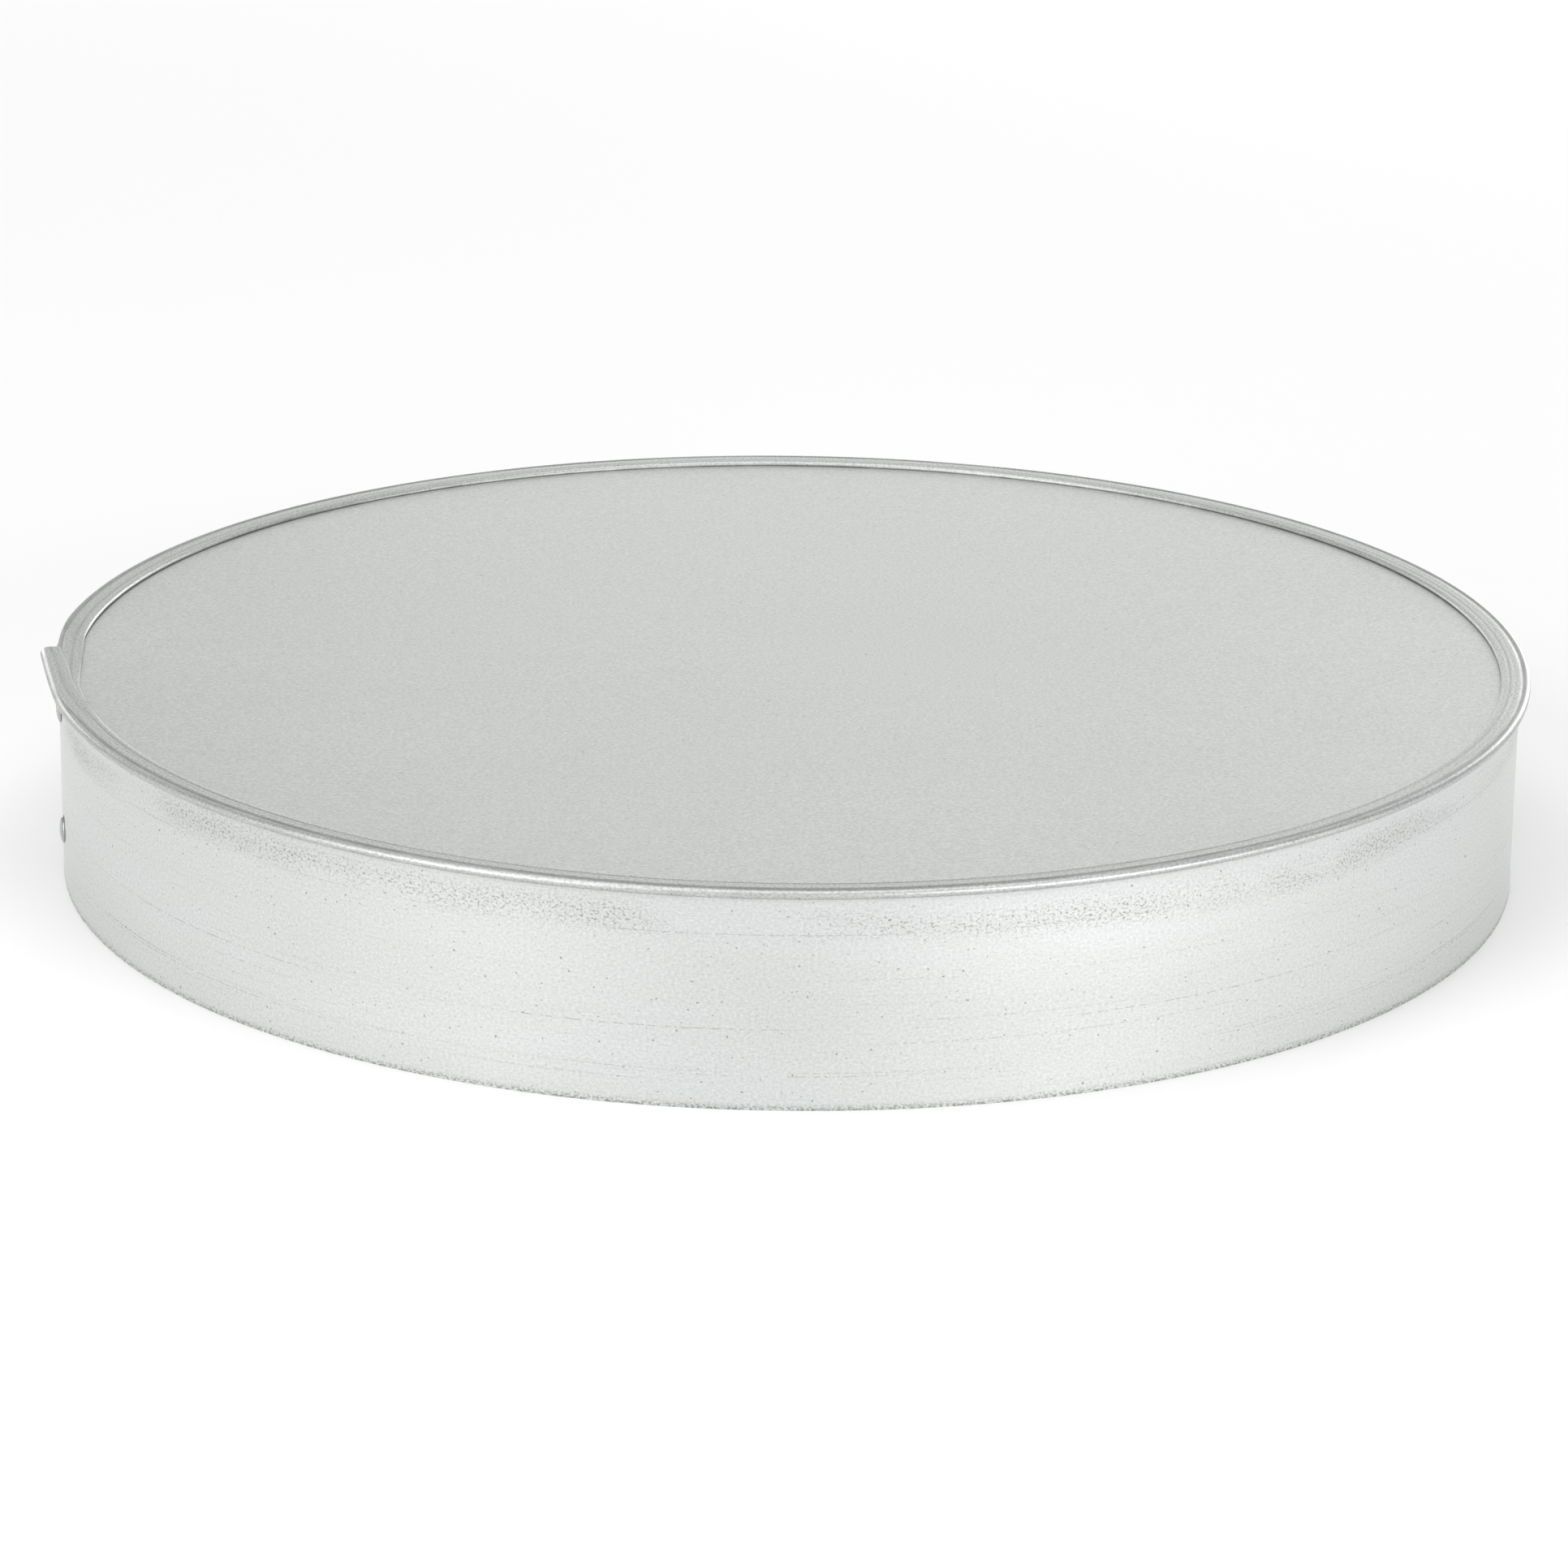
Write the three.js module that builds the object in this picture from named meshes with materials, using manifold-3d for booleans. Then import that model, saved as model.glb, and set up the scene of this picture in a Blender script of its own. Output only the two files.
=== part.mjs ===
// A shallow round drain pan of galvanised sheet, standing on the cut edge of its wall with its
// floor disc uppermost. The wall is one roll-formed strip: its top is bent out into a lip, folded
// back over the disc's edge and pressed down onto the disc. The strip's ends overlap in a lap
// joint held by two blind rivets, and sealing compound fills the fold and the lap.
// Millimetres, +Z up, origin on the pan's axis at the height of the cut edge.
import * as THREE from 'three';
import { mergeVertices } from 'three/addons/utils/BufferGeometryUtils.js';
import Module from 'manifold-3d';

// Driving dimensions
const wallRadius = 203.2;        // outside of the wall: a 16 inch pan
const panHeight = 59;            // cut edge to the flat top of the rim
const sheet = 0.5;               // thickness of the strip and of the disc
const lipRadius = 206.1;         // outermost point of the lip
const lipDepth = 2.4;            // height of the folded lip
const shoulderRadius = 197.9;    // where the folded sheet comes down onto the disc
const shoulderRun = 1.3;         // radial length of the shoulder's curve
const discDepth = 1.4;           // rim top down to the disc's upper face
const bendRadius = 0.2;          // inside radius of the bend between wall and lip
const discEngagement = 1.2;      // how far the disc's edge reaches into the fold, past the wall
const discTrim = 0.9;            // how much less it reaches in the lap
const hair = 0.06;               // clearance between faces that touch on the real pan

// The lap joint, as azimuths in degrees; the strip runs anticlockwise from its outer end
const tabEnd = 182.2;            // end of the outer strip's flange tab
const outerWallEnd = 186.5;      // end of the outer strip's wall, short of the tab
const rivetAzimuth = 190.7;
const innerEnd = 196;            // end of the inner strip, under the outer one
const nestEase = [197, 203];     // where the outer fold closes up again past that end
const joggle = [174, 182];       // where the inner strip steps inwards and down
const lapFlat = [178.5, 191];    // where the inner strip's shoulder runs straight
const openEase = [191, 200];     // where the outer strip's shoulder opens over the inner one
const tabEase = 193;             // from here to its end the tab leaves the circle
const layerStep = 1;             // inward step of the inner strip: one sheet and its film
const lipStep = 1.15;            // inward step of the inner strip's lip
const topStep = 0.6;             // downward step of the inner strip's top sheet
const tabReach = 2.9;            // how far the tab's end stands off the circle
const tabOpening = 1.5;          // how far the outer strip's shoulder draws back in the lap
const tabNarrowing = 0.8;        // how much narrower the tab is at its end

// Rivets and compound
const rivetHeights = { lower: 15.5, upper: 50.5 };
const shankRadius = 2;
const holeClearance = 0.1;
const headRadius = 3.9;
const headHeight = 1.05;
const tailRadius = 2.9;
const tailLength = 3.2;
const mandrelRadius = 1.05;
const boreRadius = 1.15;
const filmThickness = 0.3;
const filmInset = 3;             // the film stops this far short of the wall's edges

// Facets
const turnStep = 3.6;            // degrees between the strip's sections round the pan
const lapStep = 1.8;             // degrees between them in the lap
const lathe = 24;                // sides of the rivets

const galvanised = new THREE.MeshStandardMaterial({ color: 0xd3d6d4, roughness: 0.42, metalness: 0.9 });
const mattGalvanised = new THREE.MeshStandardMaterial({ color: 0xc4c6c3, roughness: 0.6, metalness: 0.8 });
const rivetSteel = new THREE.MeshStandardMaterial({ color: 0xa9acab, roughness: 0.35, metalness: 0.9 });
const mandrelSteel = new THREE.MeshStandardMaterial({ color: 0x8d9192, roughness: 0.4, metalness: 0.9 });
const compound = new THREE.MeshStandardMaterial({ color: 0x8f918e, roughness: 0.7, metalness: 0 });

const wasm = await Module();
wasm.setup();

const radians = THREE.MathUtils.degToRad;
const ramp = THREE.MathUtils.smoothstep;

// Booleans -----------------------------------------------------------------------------------

function toSolid(geometry) {
  const bare = geometry.clone();
  bare.deleteAttribute('normal');
  bare.deleteAttribute('uv');
  const merged = mergeVertices(bare, 1e-4);
  return new wasm.Manifold(new wasm.Mesh({
    numProp: 3,
    vertProperties: new Float32Array(merged.attributes.position.array),
    triVerts: new Uint32Array(merged.index.array),
  }));
}

function toGeometry(solid) {
  const mesh = solid.getMesh();
  const geometry = new THREE.BufferGeometry();
  geometry.setAttribute('position', new THREE.BufferAttribute(mesh.vertProperties, 3));
  geometry.setIndex(new THREE.BufferAttribute(mesh.triVerts, 1));
  geometry.computeVertexNormals();
  return geometry;
}

function subtract(geometry, cutters) {
  let solid = toSolid(geometry);
  for (const cutter of cutters) {
    solid = solid.subtract(toSolid(cutter));
  }
  return toGeometry(solid);
}

// Sweeps round the pan's axis -------------------------------------------------------------------

// Azimuths from one angle to another, on a common grid so that layers keep their spacing.
function azimuths(from, to) {
  const list = [from];
  let angle = from;
  while (angle < to) {
    const inLap = (angle % 360) >= joggle[0] && (angle % 360) < nestEase[1];
    const step = inLap ? lapStep : turnStep;
    angle = Math.min(to, (Math.floor(angle / step + 1e-6) + 1) * step);
    list.push(angle);
  }
  return list;
}

// A closed solid through sections of a sheet. section(azimuth) gives the sheet's two faces as
// equally long lists of [radius, height]: front on the left of its travel, back on the right.
function sweepSheet(angles, section) {
  const points = [];
  const index = [];
  let count = 0;
  for (const angle of angles) {
    const { front, back } = section(angle);
    const ring = [...front, ...back.slice().reverse()];
    count = ring.length;
    const cos = Math.cos(radians(angle));
    const sin = Math.sin(radians(angle));
    for (const [radius, height] of ring) {
      points.push(radius * cos, radius * sin, height);
    }
  }
  for (let i = 0; i + 1 < angles.length; i++) {
    for (let j = 0; j < count; j++) {
      const a = i * count + j;
      const b = i * count + (j + 1) % count;
      index.push(a, a + count, b, b, a + count, b + count);
    }
  }
  const last = (angles.length - 1) * count;
  for (let j = 0; j + 1 < count / 2; j++) {
    const k = count - 1 - j;
    index.push(j, j + 1, k, j + 1, k - 1, k);
    index.push(last + j, last + k, last + j + 1, last + j + 1, last + k, last + k - 1);
  }
  const geometry = new THREE.BufferGeometry();
  geometry.setAttribute('position', new THREE.Float32BufferAttribute(points, 3));
  geometry.setIndex(index);
  geometry.computeVertexNormals();
  return geometry;
}

// Points along a quarter or half turn: centre, the two half-axes, start and end angle in degrees.
function arc(centre, across, up, from, to, steps) {
  const list = [];
  for (let i = 0; i <= steps; i++) {
    const angle = radians(from + (to - from) * i / steps);
    list.push([centre[0] + across * Math.cos(angle), centre[1] + up * Math.sin(angle)]);
  }
  return list;
}

// The wall band -----------------------------------------------------------------------------------

// What the strip's section measures at an azimuth counted along the strip from the tab.
function stripShape(azimuth) {
  const turned = azimuth - 360;
  const joggled = ramp(turned, joggle[0], joggle[1]);
  const nested = 1 - ramp(azimuth, nestEase[0], nestEase[1]);
  const opened = 1 - ramp(azimuth, openEase[0], openEase[1]);
  const narrowed = 1 - ramp(azimuth, tabEnd, outerWallEnd);
  const alongTab = Math.max(0, (tabEase - azimuth) / (tabEase - tabEnd));
  const standOff = tabReach * alongTab * alongTab;
  const closedDrop = discDepth - hair;
  return {
    wall: wallRadius - layerStep * joggled,
    lip: lipRadius - lipStep * joggled + standOff,
    top: topStep * joggled,
    bottom: lipDepth + (topStep + hair) * nested,
    shoulder: shoulderRadius * chord(turned) + standOff + tabOpening * opened + tabNarrowing * narrowed,
    drop: closedDrop - topStep * joggled - (closedDrop - sheet) * nested,
  };
}

// Radius of a straight chord across the flat stretch, as a share of the full radius.
function chord(azimuth) {
  const half = (lapFlat[1] - lapFlat[0]) / 2;
  const offMiddle = Math.abs(azimuth - lapFlat[0] - half);
  return offMiddle < half ? Math.cos(radians(half)) / Math.cos(radians(offMiddle)) : 1;
}

function stripSection(azimuth) {
  const s = stripShape(azimuth);
  const top = panHeight - s.top;
  const under = panHeight - s.bottom;
  const inBend = [s.wall + bendRadius, under - bendRadius];
  const outBend = bendRadius + sheet;
  const lipHalf = (s.bottom - s.top) / 2;
  const lipCentre = [s.lip - lipHalf, (top + under) / 2];
  const inHalf = lipHalf - sheet;
  const turn = [s.shoulder + shoulderRun, top - s.drop];
  const front = [
    [s.wall, 0],
    ...arc(inBend, bendRadius, bendRadius, 180, 90, 2),
    ...arc(lipCentre, lipHalf, lipHalf, -90, 90, 6),
    ...arc(turn, shoulderRun, s.drop, 90, 180, 3),
  ];
  const back = [
    [s.wall - sheet, 0],
    ...arc(inBend, outBend, outBend, 180, 90, 2),
    ...arc(lipCentre, inHalf, inHalf, -90, 90, 6),
    ...arc(turn, shoulderRun - sheet, s.drop - sheet, 90, 180, 3),
  ];
  return { front, back };
}

// A pin along the pan's radius at the rivets' azimuth.
function radialPin(radius, from, to, height) {
  const pin = new THREE.CylinderGeometry(radius, radius, to - from, lathe);
  pin.rotateZ(-Math.PI / 2);
  pin.translate((from + to) / 2, 0, 0);
  pin.rotateZ(radians(rivetAzimuth));
  pin.translate(0, 0, height);
  return pin;
}

function rivetHoles(from, to) {
  const radius = shankRadius + holeClearance;
  return Object.values(rivetHeights).map((height) => radialPin(radius, from, to, height));
}

// Removes the wall under the flange tab: a block that stops between the two layers.
function tabRelief() {
  const between = wallRadius - sheet - hair;
  const beyond = lipRadius + 2 * tabReach;
  const foot = -1;
  const head = panHeight - lipDepth - topStep - 2 * bendRadius;
  const section = () => ({
    front: [[beyond, foot], [beyond, head]],
    back: [[between, foot], [between, head]],
  });
  return sweepSheet(azimuths(tabEnd - 1, outerWallEnd), section);
}

function wallBand() {
  const strip = sweepSheet(azimuths(tabEnd, innerEnd + 360), stripSection);
  const holes = rivetHoles(wallRadius - 10, wallRadius + 10);
  return subtract(strip, [tabRelief(), ...holes]);
}

// The disc ------------------------------------------------------------------------------------------

// Its edge is drawn in a little where the joggled strip end takes up part of the fold.
function discRadius(azimuth) {
  const inLap = ramp(azimuth, joggle[0] - 2, joggle[0]) * (1 - ramp(azimuth, innerEnd, nestEase[0]));
  return wallRadius + discEngagement - discTrim * inLap;
}

function baseDisc() {
  const outline = new THREE.Shape(azimuths(0, 360).slice(1).map((azimuth) => {
    const angle = radians(azimuth);
    const radius = discRadius(azimuth);
    return new THREE.Vector2(radius * Math.cos(angle), radius * Math.sin(angle));
  }));
  const disc = new THREE.ExtrudeGeometry(outline, { depth: sheet - hair, bevelEnabled: false });
  disc.translate(0, 0, panHeight - discDepth - sheet + hair);
  return disc;
}

// Sealing compound ------------------------------------------------------------------------------------

// A flat bead in the fold between the top sheet and the disc, open at the lap.
function seamSealant() {
  const low = panHeight - discDepth + hair;
  const high = panHeight - sheet - hair;
  const inner = shoulderRadius + shoulderRun + 1;
  const outer = lipRadius - sheet - 1;
  const section = () => ({
    front: [[inner, low], [outer, low]],
    back: [[inner, high], [outer, high]],
  });
  return sweepSheet(azimuths(nestEase[1] + 1, joggle[0] + 360 - 3), section);
}

// A film between the two lapped walls, pierced by the rivets.
function lapSealant() {
  const gap = layerStep - sheet;
  const outer = wallRadius - sheet - (gap - filmThickness) / 2;
  const inner = outer - filmThickness;
  const low = filmInset;
  const high = panHeight - lipDepth - filmInset;
  const section = () => ({
    front: [[outer, low], [outer, high]],
    back: [[inner, low], [inner, high]],
  });
  const film = sweepSheet(azimuths(outerWallEnd + 0.5, innerEnd - 1), section);
  return subtract(film, rivetHoles(wallRadius - 10, wallRadius + 10));
}

// Rivets ------------------------------------------------------------------------------------------------

// Profiles run along the rivet's axis: 0 is the wall's outer face, plus is outwards.
function rivetBodyProfile() {
  const seat = 0.12;
  const grip = layerStep + sheet + hair;
  const dome = arc([0, seat], headRadius, headHeight, 0, 80, 5).filter(([r]) => r > boreRadius);
  const tail = arc([shankRadius, -grip - tailLength / 2], tailRadius - shankRadius, tailLength / 2, 90, -90, 6);
  return [
    [boreRadius, -grip - tailLength],
    ...tail.reverse(),
    [shankRadius, seat],
    ...dome,
    [boreRadius, seat + headHeight * 0.9],
    [boreRadius, -grip - tailLength],
  ];
}

function mandrelProfile() {
  const grip = layerStep + sheet + hair;
  const tip = -grip - tailLength - hair;
  const broken = 0.5;
  const ball = arc([0, tip - 0.9], tailRadius * 0.62, 0.9, 60, -90, 5);
  return [
    [0, tip - 1.8],
    ...ball.reverse().slice(1),
    [mandrelRadius, tip],
    [mandrelRadius, broken],
    [0, broken],
  ];
}

function turned(profile) {
  const shape = new THREE.LatheGeometry(profile.map(([r, y]) => new THREE.Vector2(r, y)), lathe);
  return shape;
}

// A turned piece on the pan's wall: its own +Y points out along the radius.
function onWall(mesh, height) {
  mesh.rotation.z = -Math.PI / 2;
  const place = new THREE.Group();
  place.add(mesh);
  mesh.position.x = wallRadius;
  place.rotation.z = radians(rivetAzimuth);
  place.position.z = height;
  return place;
}

// Assembly -------------------------------------------------------------------------------------------------

function piece(name, geometry, material) {
  const mesh = new THREE.Mesh(geometry, material);
  mesh.name = name;
  return mesh;
}

const pan = new THREE.Group();
pan.add(piece('wall_band', wallBand(), galvanised));
pan.add(piece('base_disc', baseDisc(), mattGalvanised));
pan.add(piece('seam_sealant', seamSealant(), compound));
pan.add(piece('lap_sealant', lapSealant(), compound));
for (const [place, height] of Object.entries(rivetHeights)) {
  pan.add(onWall(piece(`rivet_body_${place}`, turned(rivetBodyProfile()), rivetSteel), height));
  pan.add(onWall(piece(`rivet_mandrel_${place}`, turned(mandrelProfile()), mandrelSteel), height));
}

export default pan;
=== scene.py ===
import math
from types import SimpleNamespace

import bpy
from mathutils import Matrix, Vector, noise


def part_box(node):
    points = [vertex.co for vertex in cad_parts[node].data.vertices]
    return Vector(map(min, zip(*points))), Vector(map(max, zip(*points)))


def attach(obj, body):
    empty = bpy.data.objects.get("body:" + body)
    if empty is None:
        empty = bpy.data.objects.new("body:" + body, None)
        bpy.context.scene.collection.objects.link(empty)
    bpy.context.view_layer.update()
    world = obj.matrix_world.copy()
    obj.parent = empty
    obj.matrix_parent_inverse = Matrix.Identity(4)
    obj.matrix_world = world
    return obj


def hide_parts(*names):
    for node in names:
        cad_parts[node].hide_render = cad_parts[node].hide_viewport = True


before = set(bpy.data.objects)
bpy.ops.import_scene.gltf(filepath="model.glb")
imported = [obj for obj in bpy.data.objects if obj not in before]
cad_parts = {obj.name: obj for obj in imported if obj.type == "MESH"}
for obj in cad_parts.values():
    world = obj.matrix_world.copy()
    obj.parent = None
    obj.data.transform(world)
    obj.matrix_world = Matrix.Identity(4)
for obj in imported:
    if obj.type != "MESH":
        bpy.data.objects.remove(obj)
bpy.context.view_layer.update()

MM = 0.001


def in_mm(node):
    low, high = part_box(node)
    return low / MM, high / MM


# Sizes that the frame gives
BAND_HIGH = in_mm("wall_band")[1]
DISC_LOW, DISC_HIGH = in_mm("base_disc")
BEAD_LOW, BEAD_HIGH = in_mm("seam_sealant")
FILM_LOW, FILM_HIGH = in_mm("lap_sealant")
PAN_HEIGHT = BAND_HIGH.z
LIP_RADIUS = BAND_HIGH.x

# Sizes of the CAD part's section, lap joint and rivets, in millimetres and degrees of azimuth.
# HAIR is the clearance that it leaves between faces that touch on the real pan
HAIR = 0.06
SHEET = DISC_HIGH.z - DISC_LOW.z + HAIR
DISC_DEPTH = PAN_HEIGHT - DISC_HIGH.z
DISC_ENGAGEMENT = 1.2
WALL_RADIUS = DISC_HIGH.x - DISC_ENGAGEMENT
DISC_TRIM = 0.9
LIP_DEPTH = 2.4
SHOULDER_RADIUS = 197.9
SHOULDER_RUN = 1.3
BEND_RADIUS = 0.2
TAB_END = 182.2
OUTER_WALL_END = 186.5
RIVET_AZIMUTH = 190.7
INNER_END = 196
NEST_EASE = (197, 203)
JOGGLE = (174, 182)
LAP_FLAT = (178.5, 191)
OPEN_EASE = (191, 200)
TAB_EASE = 193
LAYER_STEP = 1.0
LIP_STEP = 1.15
TOP_STEP = 0.6
TAB_REACH = 2.9
TAB_OPENING = 1.5
TAB_NARROWING = 0.8
TAB_CORNER = 1.8
RELIEF_CORNER = 3.0
RELIEF_SLANT = 0.8
SHANK_RADIUS = 2.0
HEAD_RADIUS = 3.9
HEAD_HEIGHT = 1.05
HEAD_SEAT = 0.12
TAIL_RADIUS = 2.9
TAIL_LENGTH = 3.2
MANDREL_RADIUS = 1.05
BORE_RADIUS = 1.15
FILM_THICKNESS = 0.3
RIVETS = ("lower", "upper")


# Small helpers -------------------------------------------------------------------------------

def ramp(value, start, end):
    share = min(1.0, max(0.0, (value - start) / (end - start)))
    return share * share * (3 - 2 * share)


def bump(value, centre, width):
    return math.exp(-((value - centre) / width) ** 2)


def spread(start, end, steps):
    return [start + (end - start) * i / steps for i in range(steps + 1)]


def arc(centre, across, up, start, end, steps):
    angles = [math.radians(a) for a in spread(start, end, steps)]
    return [(centre[0] + across * math.cos(a), centre[1] + up * math.sin(a)) for a in angles]


def polar(radius, azimuth, height):
    angle = math.radians(azimuth)
    return Vector((radius * math.cos(angle), radius * math.sin(angle), height))


def wander(azimuth, size, seed):
    """A slow, smooth wobble round the pan, from -1 to 1."""
    angle = math.radians(azimuth)
    return noise.noise(Vector((math.cos(angle) * size, math.sin(angle) * size, seed)))


# Mesh making ---------------------------------------------------------------------------------

# Edges that turn more than this many degrees are shaded sharp
SHARP_ANGLE = 35
# A sheet's back has this third coordinate in "blank", and its front has 0, so that the
# materials' noise differs between them
BACK_FACE = 0.1


def new_piece(name, points, faces, blank=None, fold=None):
    """A smooth-shaded object from points in millimetres. For the materials, blank holds each
    point's place on the flat sheet before forming and fold its distance from the sheet's
    folded edge, in metres."""
    mesh = bpy.data.meshes.new(name)
    mesh.from_pydata([Vector(p) * MM for p in points], [], faces)
    mesh.update()
    mesh.polygons.foreach_set("use_smooth", [True] * len(mesh.polygons))
    mesh.set_sharp_from_angle(angle=math.radians(SHARP_ANGLE))
    if blank:
        layer = mesh.attributes.new("blank", "FLOAT_VECTOR", "POINT")
        layer.data.foreach_set("vector", [c for p in blank for c in p])
        mesh.attributes.new("fold", "FLOAT", "POINT").data.foreach_set("value", fold)
    piece = bpy.data.objects.new(name, mesh)
    bpy.context.scene.collection.objects.link(piece)
    return piece


def lengths(points):
    """The running length along a line of points."""
    run = [0.0]
    for a, b in zip(points, points[1:]):
        run.append(run[-1] + math.dist(a, b))
    return run


def sweep_sheet(name, azimuths, section):
    """A sheet with two ends, swept round the pan's axis. section(azimuth) gives its two faces
    as equally long lists of (radius, height)."""
    points, blank, fold, faces = [], [], [], []
    for azimuth in azimuths:
        front, back = section(azimuth)
        count = 2 * len(front)
        along = math.radians(azimuth) * WALL_RADIUS * MM
        points += [polar(r, azimuth, z) for r, z in front]
        points += [polar(r, azimuth, z) for r, z in reversed(back)]
        for run, side in ((lengths(front), 0.0), (lengths(back)[::-1], BACK_FACE)):
            blank += [(along, v * MM, side) for v in run]
            fold += [(max(run) - v) * MM for v in run]
    last = (len(azimuths) - 1) * count
    for this in range(0, last, count):
        after = this + count
        for j in range(count):
            k = (j + 1) % count
            faces.append((this + j, after + j, after + k, this + k))
    for j in range(count // 2 - 1):
        k = count - 1 - j
        faces.append((j, j + 1, k - 1, k))
        faces.append((last + k, last + k - 1, last + j + 1, last + j))
    return new_piece(name, points, faces, blank, fold)


def turned_piece(name, profile, height, sides):
    """A piece turned about the rivet's axis. profile is (radius, distance out of the wall)."""
    axis = polar(1, RIVET_AZIMUTH, 0)
    side = Vector((0, 0, 1)).cross(axis)
    foot = polar(WALL_RADIUS, RIVET_AZIMUTH, height)
    closed = profile[0] == profile[-1]
    rows = profile[:-1] if closed else profile
    points, starts = [], []
    for radius, out in rows:
        starts.append(len(points))
        turns = sides if radius > 1e-6 else 1
        for i in range(turns):
            angle = 2 * math.pi * i / turns
            around = side * math.cos(angle) + Vector((0, 0, 1)) * math.sin(angle)
            points.append(foot + axis * out + around * radius)
    faces = []
    links = list(range(len(rows))) + ([0] if closed else [])
    for a, b in zip(links, links[1:]):
        one = rows[a][0] <= 1e-6
        other = rows[b][0] <= 1e-6
        for i in range(sides):
            j = (i + 1) % sides
            ring = [starts[a] + (0 if one else i), starts[a] + (0 if one else j),
                    starts[b] + (0 if other else j), starts[b] + (0 if other else i)]
            faces.append(tuple(dict.fromkeys(ring)))
    return new_piece(name, points, faces)


# The rolled wall -----------------------------------------------------------------------------

# Distance outwards from the shoulder, depth and half-width of the lines that the rolls leave
ROLL_GROOVES = ((1.1, 0.1, 0.3), (2.5, 0.05, 0.3), (4.9, 0.3, 0.65))
# How far a groove may stray to either side
GROOVE_DRIFT = 0.12
# How far the fold's edge springs up off the disc, its steady share, and how strongly the rest
# comes and goes round the pan
EDGE_GAP = 0.16
EDGE_STEADY = 0.6
EDGE_UNEVEN = 0.8
# How much of the gap the tightest place loses, and that place's azimuth and half-width
EDGE_CLOSED = 0.8
CLOSED_ARC = (358, 14)
# Before the lap the edge springs up further: how far, the middle azimuth and the half-width
EDGE_SPRUNG = 0.26
SPRUNG_ARC = (174, 14)
# A small dent in the shoulder before the lap: its azimuth and half-width in degrees, then its
# half-width across the rim and its depth
DENT_AZIMUTH = 178.7
DENT_WIDTH = 0.22
DENT_REACH = 1.1
DENT_DEPTH = 0.35
# The bevel along the wall's cut edge
BURR = 0.08
# Points along the wall, across the rim's top, round each bend, round the lip and down the shoulder
WALL_ROWS = 9
TOP_COLUMNS = 26
BEND_STEPS = 5
LIP_STEPS = 16
SHOULDER_STEPS = 9


def chord(azimuth):
    """The radius of a straight chord across the lap, as a share of the full radius."""
    half = (LAP_FLAT[1] - LAP_FLAT[0]) / 2
    off_middle = abs(azimuth - LAP_FLAT[0] - half)
    if off_middle >= half:
        return 1.0
    return math.cos(math.radians(half)) / math.cos(math.radians(off_middle))


def corner_round(azimuth):
    """How far the tab's outer corner is rounded back at its end."""
    along = math.radians(azimuth - TAB_END) * LIP_RADIUS
    if along >= TAB_CORNER:
        return 0.0
    return TAB_CORNER - math.sqrt(TAB_CORNER ** 2 - (TAB_CORNER - along) ** 2)


def wall_foot(azimuth):
    """The height where the wall starts: the cut edge, and under the tab the relief's edge."""
    head = PAN_HEIGHT - LIP_DEPTH - TOP_STEP - 2 * BEND_RADIUS
    along = math.radians(OUTER_WALL_END - azimuth) * WALL_RADIUS
    if along <= 0:
        return 0.0
    if along <= RELIEF_SLANT:
        return (head - RELIEF_CORNER) * along / RELIEF_SLANT
    left = max(0.0, RELIEF_CORNER - (along - RELIEF_SLANT))
    return head - RELIEF_CORNER + math.sqrt(RELIEF_CORNER ** 2 - left ** 2)


def strip_shape(azimuth):
    """The sizes of the strip's section at an azimuth, which runs on past 360 into the lap."""
    turned = azimuth - 360
    joggled = ramp(turned, *JOGGLE)
    nested = 1 - ramp(azimuth, *NEST_EASE)
    opened = 1 - ramp(azimuth, *OPEN_EASE)
    narrowed = 1 - ramp(azimuth, TAB_END, OUTER_WALL_END)
    along_tab = max(0.0, (TAB_EASE - azimuth) / (TAB_EASE - TAB_END))
    stand_off = TAB_REACH * along_tab ** 2
    closed_drop = DISC_DEPTH - HAIR
    lifted = EDGE_GAP * (EDGE_STEADY + EDGE_UNEVEN * wander(azimuth, 1.5, 11))
    lifted *= 1 - EDGE_CLOSED * bump(azimuth, *CLOSED_ARC)
    lifted = max(0.0, lifted) + EDGE_SPRUNG * bump(turned, *SPRUNG_ARC)
    return SimpleNamespace(
        wall=WALL_RADIUS - LAYER_STEP * joggled,
        lip=LIP_RADIUS - LIP_STEP * joggled + stand_off - corner_round(azimuth),
        top=TOP_STEP * joggled,
        bottom=LIP_DEPTH + (TOP_STEP + HAIR) * nested,
        shoulder=SHOULDER_RADIUS * chord(turned) + stand_off
        + TAB_OPENING * opened + TAB_NARROWING * narrowed,
        drop=closed_drop - TOP_STEP * joggled - (closed_drop - SHEET) * nested
        - lifted * (1 - nested),
    )


def rim_relief(radius, azimuth, shape):
    """How far the rim's flat top is pressed in, in millimetres, at a radius."""
    inner = shape.shoulder + SHOULDER_RUN
    depth = 0.0
    for distance, deep, wide in ROLL_GROOVES:
        line = inner + distance + GROOVE_DRIFT * wander(azimuth, 3, distance)
        pressed = 0.7 + 0.5 * wander(azimuth, 5, 7 + distance)
        depth += deep * pressed * bump(radius, line, wide)
    dent = bump(azimuth - 360, DENT_AZIMUTH, DENT_WIDTH) * bump(radius, inner, DENT_REACH)
    return max(0.0, depth) + DENT_DEPTH * dent


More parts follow.
